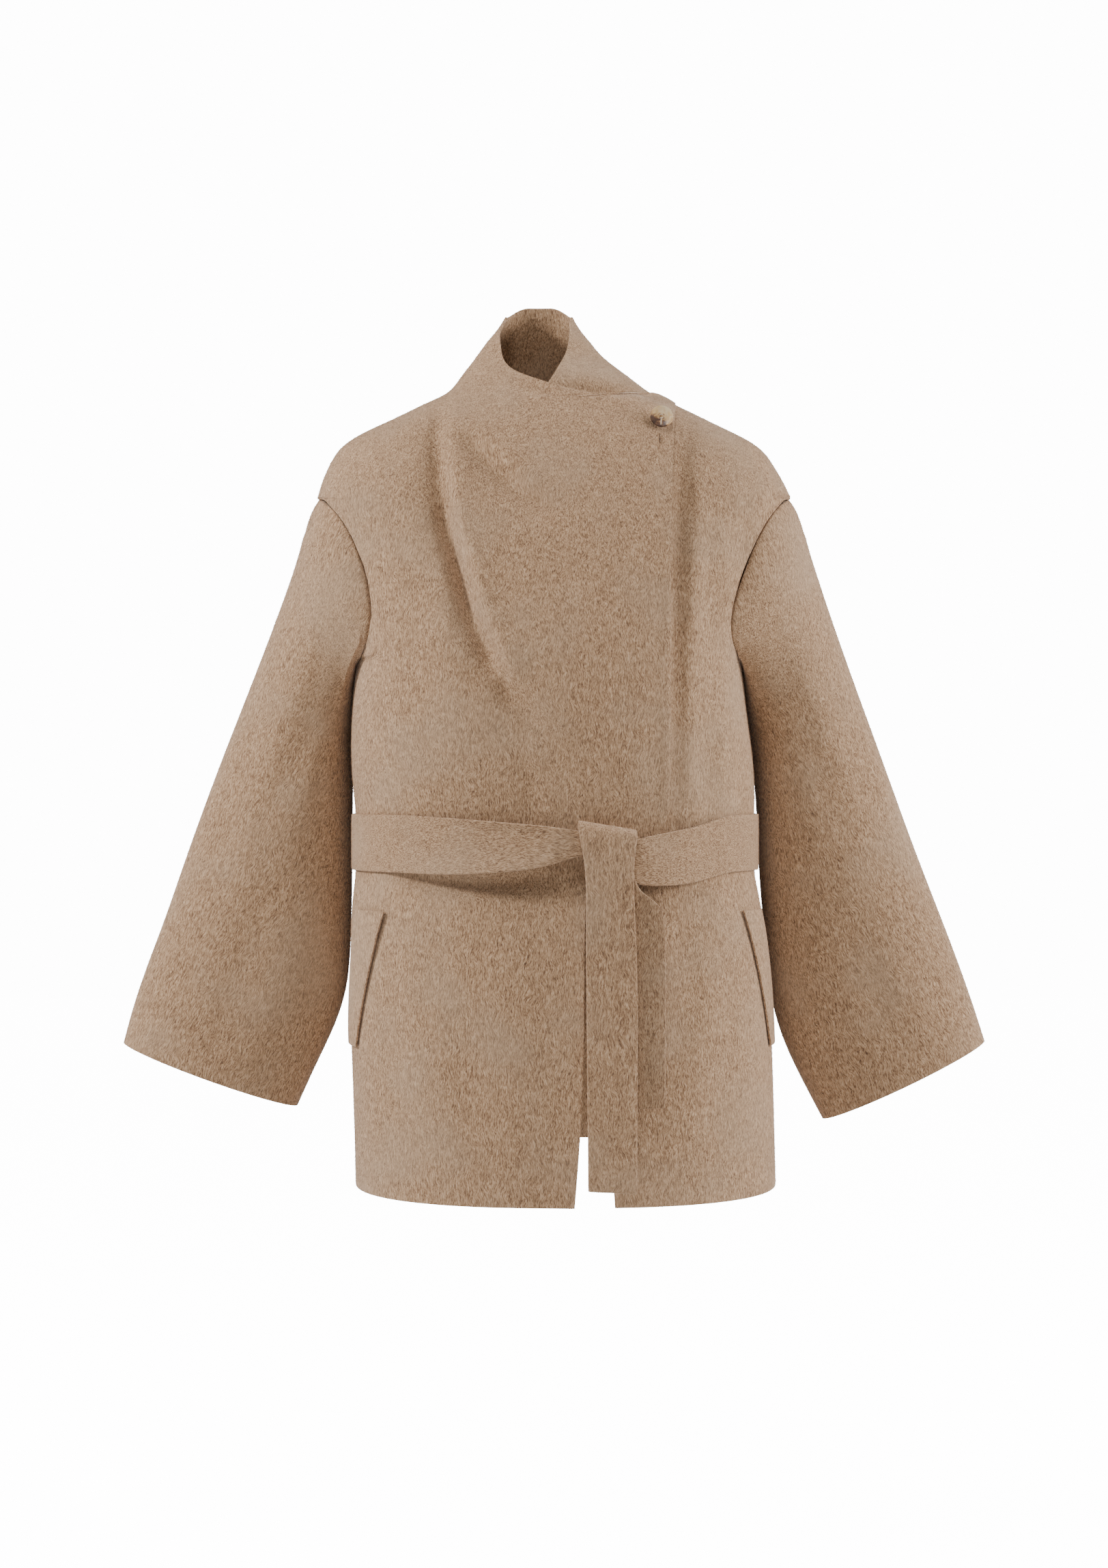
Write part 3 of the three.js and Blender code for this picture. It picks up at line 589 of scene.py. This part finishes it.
# %% Wool material
CREAM = (0.62, 0.425, 0.27)
BEIGE = (0.43, 0.266, 0.152)
BROWN = (0.235, 0.131, 0.068)
UMBER = (0.1, 0.055, 0.028)
GREY_BEIGE = (0.42, 0.295, 0.195)
WOOL_STOPS = [(0.0, UMBER), (0.22, BROWN), (0.55, BEIGE), (1.0, CREAM)]
SHEEN_TINT = (1.0, 0.93, 0.84, 1)
OBJECT_PLACE = 3
NAP_STRETCH = (1, 1, 0.16)
STREAK_SCALE, TUFT_SCALE, CLUMP_SCALE, PATCH_SCALE = 2300, 1000, 210, 14
SWAY_SCALE, SWAY = 55, 0.011
FIBRE_RANGE, PATCH_RANGE, MOST_GREY = (0.33, 0.69), (0.42, 0.72), 0.35
NAP_BUMP, NAP_HEIGHT = 0.4, 0.001


def wool(name, turn=(0, 0, 0), shade=1.0):
    """Brushed melange wool whose nap runs along the pattern's own Z axis."""
    made = Shader(name)
    place = made.node("ShaderNodeTexCoord", output=OBJECT_PLACE)
    turned = made.node("ShaderNodeMapping", {}, {"Vector": place, "Rotation": turn})
    sway = made.noise(turned, SWAY_SCALE, detail=1)
    lean = made.node("ShaderNodeCombineXYZ", {}, {0: (sway - 0.5) * SWAY})
    swung = made.node("ShaderNodeVectorMath", {"operation": "ADD"}, {0: turned, 1: lean})
    nap = made.node("ShaderNodeMapping", {}, {"Vector": swung, "Scale": NAP_STRETCH})
    streaks = made.noise(nap, STREAK_SCALE, rough=0.6)
    tufts = made.noise(nap, TUFT_SCALE, rough=0.6)
    clumps = made.noise(turned, CLUMP_SCALE, rough=0.6)
    patches = made.noise(turned, PATCH_SCALE)
    fibre = (streaks * 0.45 + tufts * 0.43 + clumps * 0.12).step(*FIBRE_RANGE)
    # A shade below 1 darkens every colour of the wool: painted shade, for darker copies of the same cloth.
    stops = [(at, tuple(c * shade for c in colour)) for at, colour in WOOL_STOPS]
    melange = made.node("ShaderNodeValToRGB", {"stops": stops}, {0: fibre})
    greyed = tuple(c * shade for c in GREY_BEIGE)
    toned = made.mix(patches.step(*PATCH_RANGE) * MOST_GREY, melange, greyed)
    height = streaks * 0.6 + tufts * 0.9 + clumps * 0.5
    bump = made.node("ShaderNodeBump", {}, {"Height": height, "Strength": NAP_BUMP, "Distance": NAP_HEIGHT})
    made.feed(Base_Color=toned, Roughness=fibre * -0.1 + 0.95, Normal=bump)
    made.feed(Sheen_Weight=0.24, Sheen_Roughness=0.55, Sheen_Tint=SHEEN_TINT, Specular_IOR_Level=0.15)
    return made.material


wool_body = wool("brushed_wool_nap_down")
print("made the finish", wool_body.name)

# %% Wool for sleeves and belt
SLEEVE_LEAN = 0.36
sleeve_finish = {
    "right": wool("brushed_wool_right_sleeve", turn=(0, -SLEEVE_LEAN, 0)),
    "left": wool("brushed_wool_left_sleeve", turn=(0, SLEEVE_LEAN, 0)),
}
# The belt and its front tail get slightly darker copies of the same wool. This is painted shade: the belt's
# crosswise nap catches less light.
belt_wool_painted_shade = wool("brushed_wool_along_belt_painted_shade", turn=(0, math.pi / 2, 0), shade=0.97)
front_tail_wool_painted_shade = wool("brushed_wool_front_tail_painted_shade", shade=0.95)
# The back tail gets a darker copy of the same wool: painted shade for the shadow it hangs in behind the front
# tail.
back_tail_wool_painted_shade = wool("brushed_wool_back_tail_painted_shade", shade=0.86)
print("made", len(sleeve_finish) + 1, "more wool finishes")

# %% [markdown]
# ## Horn and thread
# Horn is layered, cream through caramel to dark brown, and polished. The layers run aslant, so the colour is
# picked by the height and the width on the button with a noise that swirls them, and the lower left of the
# rim falls in the dark part.

# %% Button materials
horn = Shader("polished_horn")
place = horn.node("ShaderNodeTexCoord", output=OBJECT_PLACE)
across = horn.node("ShaderNodeSeparateXYZ", {}, {0: place})
upward = Value(horn, across.socket.node.outputs[2])
LAYERS_UP, LAYERS_ACROSS, SWIRL_SCALE, SWIRL, HORN_RANGE = 48, 30, 170, 1.1, (-0.2, 1.2)
layers = (upward - BUTTON_MIDDLE.z) * LAYERS_UP + (across - BUTTON_MIDDLE.x) * LAYERS_ACROSS
swirl = horn.noise(place, SWIRL_SCALE, detail=3, twist=1.0)
depth = (layers + swirl * SWIRL).step(*HORN_RANGE)
HORN_STOPS = [
    (0.0, (0.035, 0.018, 0.012)),
    (0.3, (0.13, 0.06, 0.03)),
    (0.5, (0.5, 0.3, 0.13)),
    (0.75, (0.6, 0.4, 0.2)),
    (1.0, (0.7, 0.54, 0.34)),
]
horn_colour = horn.node("ShaderNodeValToRGB", {"stops": HORN_STOPS}, {0: depth})
horn.feed(Base_Color=horn_colour, Roughness=swirl * 0.12 + 0.34, Coat_Weight=0.12, Coat_Roughness=0.16)

# %% Thread and slit materials
# The slit's colours are painted shadow: near black for the dark inside the cut, mottled by a little noise.
SLIT_SHADOW_DARK, SLIT_SHADOW_PALE = (0.02, 0.012, 0.008), (0.06, 0.035, 0.02)
THREAD_DARK, THREAD_PALE = (0.4, 0.3, 0.2), (0.75, 0.64, 0.5)
SLIT_NOISE, TWIST_SCALE = 1800, 2600
slit_shade = Shader("buttonhole_shadow")
slit_place = slit_shade.node("ShaderNodeTexCoord", output=OBJECT_PLACE)
slit_noise = slit_shade.noise(slit_place, SLIT_NOISE, detail=1)
slit_shade.feed(Base_Color=slit_shade.mix(slit_noise, SLIT_SHADOW_DARK, SLIT_SHADOW_PALE), Roughness=1.0)
cotton = Shader("pale_sewing_thread")
twist = cotton.noise(cotton.node("ShaderNodeTexCoord", output=OBJECT_PLACE), TWIST_SCALE, detail=1)
twist_bump = cotton.node("ShaderNodeBump", {}, {"Height": twist, "Strength": 0.4, "Distance": 0.0003})
cotton.feed(Base_Color=cotton.mix(twist, THREAD_DARK, THREAD_PALE), Roughness=0.8, Normal=twist_bump)
print("made", horn.material.name, "and", cotton.material.name)

# %% Finishing the pieces
FINISHES = {
    front_right: (wool_body, "wool", "front_right"),
    front_left: (wool_body, "wool", "front_left"),
    back: (wool_body, "wool", "back"),
    sleeves["right"]: (sleeve_finish["right"], "wool", "sleeve_right"),
    sleeves["left"]: (sleeve_finish["left"], "wool", "sleeve_left"),
    welts["right"]: (wool_body, "wool", "pocket_welt_right"),
    welts["left"]: (wool_body, "wool", "pocket_welt_left"),
    belt_band: (belt_wool_painted_shade, "belt_wool", "belt_band"),
    belt_front: (front_tail_wool_painted_shade, "belt_wool", "belt_tail_front"),
    belt_back: (back_tail_wool_painted_shade, "belt_wool", "belt_tail_back"),
    button: (horn.material, "horn", "button"),
    thread: (cotton.material, "thread", "button_thread"),
}
for piece, (finish, slot, node) in FINISHES.items():
    piece.data.materials.append(finish)
    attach(piece, "root")
    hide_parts(node)
SEWN = {
    button_sewing: (cotton.material, "thread"),
    buttonhole_stitches: (wool_body, "wool"),
    buttonhole_slit_shadow: (slit_shade.material, "wool"),
}
for piece, (finish, slot) in SEWN.items():
    piece.data.materials.clear()
    piece.data.materials.append(finish)
    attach(piece, "root")
print("dressed", len(FINISHES), "pieces")

# %% [markdown]
# ## The nap
# Brushing pulls short hairs out of the cloth and lays them one way. The finish draws those that lie flat.
# The ones that stand up a little soften the outline, so they are real geometry: slim three-sided spikes, a
# few millimetres long, scattered evenly over the outside by area, and leaning with the nap.

# %% Loose hairs
HAIR_LENGTH, HAIR_WIDTH, ROOT_DEPTH = (1.4, 3.4), 0.17, 0.1
HAIR_LIFT, STRAY = 0.42, 0.22
CORNER_ACROSS, CORNER_UP = 0.5, 0.87
FIBRE_SCALE = 700


def grow_nap(piece, name, count, lean, hollow, seed):
    """Scatters leaning spikes over the faces that look away from the hollow's middle line."""
    chance = np.random.default_rng(seed)
    mesh = piece.data
    mesh.calc_loop_triangles()
    corners = np.zeros(len(mesh.loop_triangles) * 3, int)
    mesh.loop_triangles.foreach_get("vertices", corners)
    corners = coordinates(piece)[corners.reshape(-1, 3)]
    cross = np.cross(corners[:, 1] - corners[:, 0], corners[:, 2] - corners[:, 0])
    area = np.linalg.norm(cross, axis=1) / 2
    middle = corners.mean(1)
    outward = np.einsum("ij,ij->i", cross, middle - hollow(middle)) > 0
    corners, cross, area = corners[outward], cross[outward], area[outward]
    pick = chance.choice(len(area), count, p=area / area.sum())
    mix = chance.dirichlet((1, 1, 1), count)
    root = np.einsum("ij,ijk->ik", mix, corners[pick])
    out = cross[pick] / np.linalg.norm(cross[pick], axis=1)[:, None]
    along = np.array(lean, float) + chance.normal(0, STRAY, (count, 3))
    along -= out * np.einsum("ij,ij->i", along, out)[:, None]
    along /= np.linalg.norm(along, axis=1)[:, None] + 1e-9
    stand = np.abs(chance.normal(HAIR_LIFT, STRAY, count))[:, None]
    spike = along + out * stand
    spike /= np.linalg.norm(spike, axis=1)[:, None]
    side = np.cross(spike, out + 1e-6)
    side /= np.linalg.norm(side, axis=1)[:, None] + 1e-9
    rise = np.cross(side, spike)
    length = chance.uniform(*HAIR_LENGTH, count)[:, None] * MM
    root = root - out * ROOT_DEPTH * MM
    half = HAIR_WIDTH * MM / 2
    points = np.stack([
        root + side * half,
        root - side * half * CORNER_ACROSS + rise * half * CORNER_UP,
        root - side * half * CORNER_ACROSS - rise * half * CORNER_UP,
        root + spike * length,
    ], axis=1).reshape(-1, 3)
    first = np.arange(count)[:, None] * 4
    faces = np.concatenate([first + f for f in ((0, 2, 1), (0, 1, 3), (1, 2, 3), (2, 0, 3))], axis=1)
    hairs = bpy.data.meshes.new(name)
    hairs.from_pydata(points.tolist(), [], faces.reshape(-1, 3).tolist())
    made = bpy.data.objects.new(name, hairs)
    bpy.context.scene.collection.objects.link(made)
    made.data.materials.append(fibre_finish)
    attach(made, "root")
    return made


fibre = Shader("loose_wool_fibre")
fibre_place = fibre.node("ShaderNodeTexCoord", output=OBJECT_PLACE)
fibre_tone = fibre.noise(fibre_place, FIBRE_SCALE, detail=1).step(0.3, 0.7)
fibre.feed(Base_Color=fibre.mix(fibre_tone, BROWN, CREAM), Roughness=0.75, Specular_IOR_Level=0.2)
fibre_finish = fibre.material
print("made the finish", fibre_finish.name)

# %% Nap on each piece
SLEEVE_DOWN, SLEEVE_ACROSS, SLEEVE_BACK = (0.1, 0.3, 0.5, 0.7), (0.212, 0.25, 0.29, 0.335), 0.012


def body_middle(at):
    """The point of the body's middle line that is level with each place."""
    return at * (0, 0, 1)


def sleeve_middle(side):
    """A function that gives the point of this sleeve's middle line level with each place."""
    sign = -1 if side == "right" else 1

    def middle(at):
        across = np.interp(-at[:, 2], SLEEVE_DOWN, SLEEVE_ACROSS) * sign
        return np.stack([across, np.full(len(at), SLEEVE_BACK), at[:, 2]], axis=1)

    return middle


DOWN = (0, 0, -1)
FIRST_SEED, ROUGH_SHARE = 11, 8
NAPS = {
    front_right: ("right_front_nap", 42000, DOWN, body_middle),
    front_left: ("left_front_nap", 30000, DOWN, body_middle),
    back: ("back_nap", 46000, DOWN, body_middle),
    sleeves["right"]: ("right_sleeve_nap", 38000, (-SLEEVE_LEAN, 0, -1), sleeve_middle("right")),
    sleeves["left"]: ("left_sleeve_nap", 38000, (SLEEVE_LEAN, 0, -1), sleeve_middle("left")),
    belt_band: ("belt_nap", 9000, (1, 0, -0.1), body_middle),
    belt_front: ("front_tail_nap", 5000, DOWN, body_middle),
    belt_back: ("back_tail_nap", 2500, DOWN, body_middle),
}
nap_of = {}
for seed, (piece, (name, count, lean, hollow)) in enumerate(NAPS.items(), FIRST_SEED):
    hairs = count
    nap_of[piece] = grow_nap(piece, name, hairs, lean, hollow, seed)
    "belt_wool" if "belt" in name or "tail" in name else "wool"
print("hairs:", sum(triangles(nap) for nap in nap_of.values()), "triangles")

# %% [markdown]
# ## Sheets of cloth
# Every cloth piece's flat cut size is listed here, with its area and how it is held. On a tube, all of the
# cloth round it counts.

# %% Cut sizes
CUTS = {
    front_right: ((0.56, 0.86), 0.266, "hung"),
    front_left: ((0.42, 0.86), 0.192, "hung"),
    back: ((0.55, 0.86), 0.41, "hung"),
    sleeves["right"]: ((0.44, 0.56), 0.205, "hung"),
    sleeves["left"]: ((0.44, 0.56), 0.205, "hung"),
    welts["right"]: ((0.04, 0.17), 0.006, "laid"),
    welts["left"]: ((0.04, 0.17), 0.006, "laid"),
    belt_band: ((0.054, 1.03), None, "stretched"),
    belt_front: ((0.056, 0.37), None, "hung"),
    belt_back: ((0.05, 0.2), None, "hung"),
}
for piece, (flat, area, held) in CUTS.items():
    extra = [nap_of[piece]] if piece in nap_of else []
print("declared", len(CUTS), "sheets")

# %% [markdown]
# ## Stage and light
# The photograph is shot against white in soft light. The camera sees a white world and a white floor well
# below the hem, which light the jacket much less than they show. A strong light from the upper left of the
# picture gives the folds their shape, a weaker one from above reaches the shoulders, and a wider one from
# the right keeps that side from going dark.

# %% Stage
FLOOR_Z, FLOOR_SIZE = -1.18, 12
ROOM_LIGHT, ROOM_COLOUR = 0.25, (1, 0.985, 0.96, 1)
BACKDROP_WHITE = 14.0
bpy.ops.object.select_all(action="DESELECT")
bpy.ops.mesh.primitive_plane_add(size=FLOOR_SIZE, location=(0, 0, FLOOR_Z))
floor = bpy.context.object
floor.name = "pale_floor"
floor_paint = Shader("pale_floor_paint")
camera_only = floor_paint.node("ShaderNodeLightPath")
floor_glow = floor_paint.mix(camera_only, (0, 0, 0), (1, 1, 1))
floor_paint.feed(Base_Color=(0.9, 0.9, 0.9, 1), Roughness=0.9, Emission_Color=floor_glow)
floor_paint.feed(Emission_Strength=BACKDROP_WHITE, Specular_IOR_Level=0.1)
floor.data.materials.append(floor_paint.material)

world = bpy.context.scene.world or bpy.data.worlds.new("white_room")
bpy.context.scene.world = world
world.use_nodes = True
sky = world.node_tree
backdrop = sky.nodes["Background"]
room = sky.nodes.new("ShaderNodeBackground")
room.inputs[0].default_value, room.inputs[1].default_value = ROOM_COLOUR, ROOM_LIGHT
backdrop.inputs[0].default_value, backdrop.inputs[1].default_value = (1, 1, 1, 1), BACKDROP_WHITE
seen, either = sky.nodes.new("ShaderNodeLightPath"), sky.nodes.new("ShaderNodeMixShader")
sky.links.new(seen.outputs["Is Camera Ray"], either.inputs[0])
sky.links.new(room.outputs[0], either.inputs[1])
sky.links.new(backdrop.outputs[0], either.inputs[2])
sky.links.new(either.outputs[0], sky.nodes["World Output"].inputs[0])

# %% Lights
LIT_POINT = Vector((0, 0, -0.4))


def soft_light(name, place, size, power):
    """A square area light aimed at the middle of the jacket."""
    bpy.ops.object.select_all(action="DESELECT")
    bpy.ops.object.light_add(type="AREA", location=place)
    light = bpy.context.object
    light.name = name
    light.data.size = size
    light.data.energy = power
    aim = LIT_POINT - Vector(place)
    light.rotation_euler = aim.to_track_quat("-Z", "Y").to_euler()


soft_light("soft_light_left", (-2.6, -0.7, 1.1), 0.5, 104)
soft_light("soft_light_top", (-0.25, -1.35, 2.4), 0.7, 34)
soft_light("soft_light_right", (2.7, -0.4, 0.45), 0.9, 90)
print("stage and lights are set")
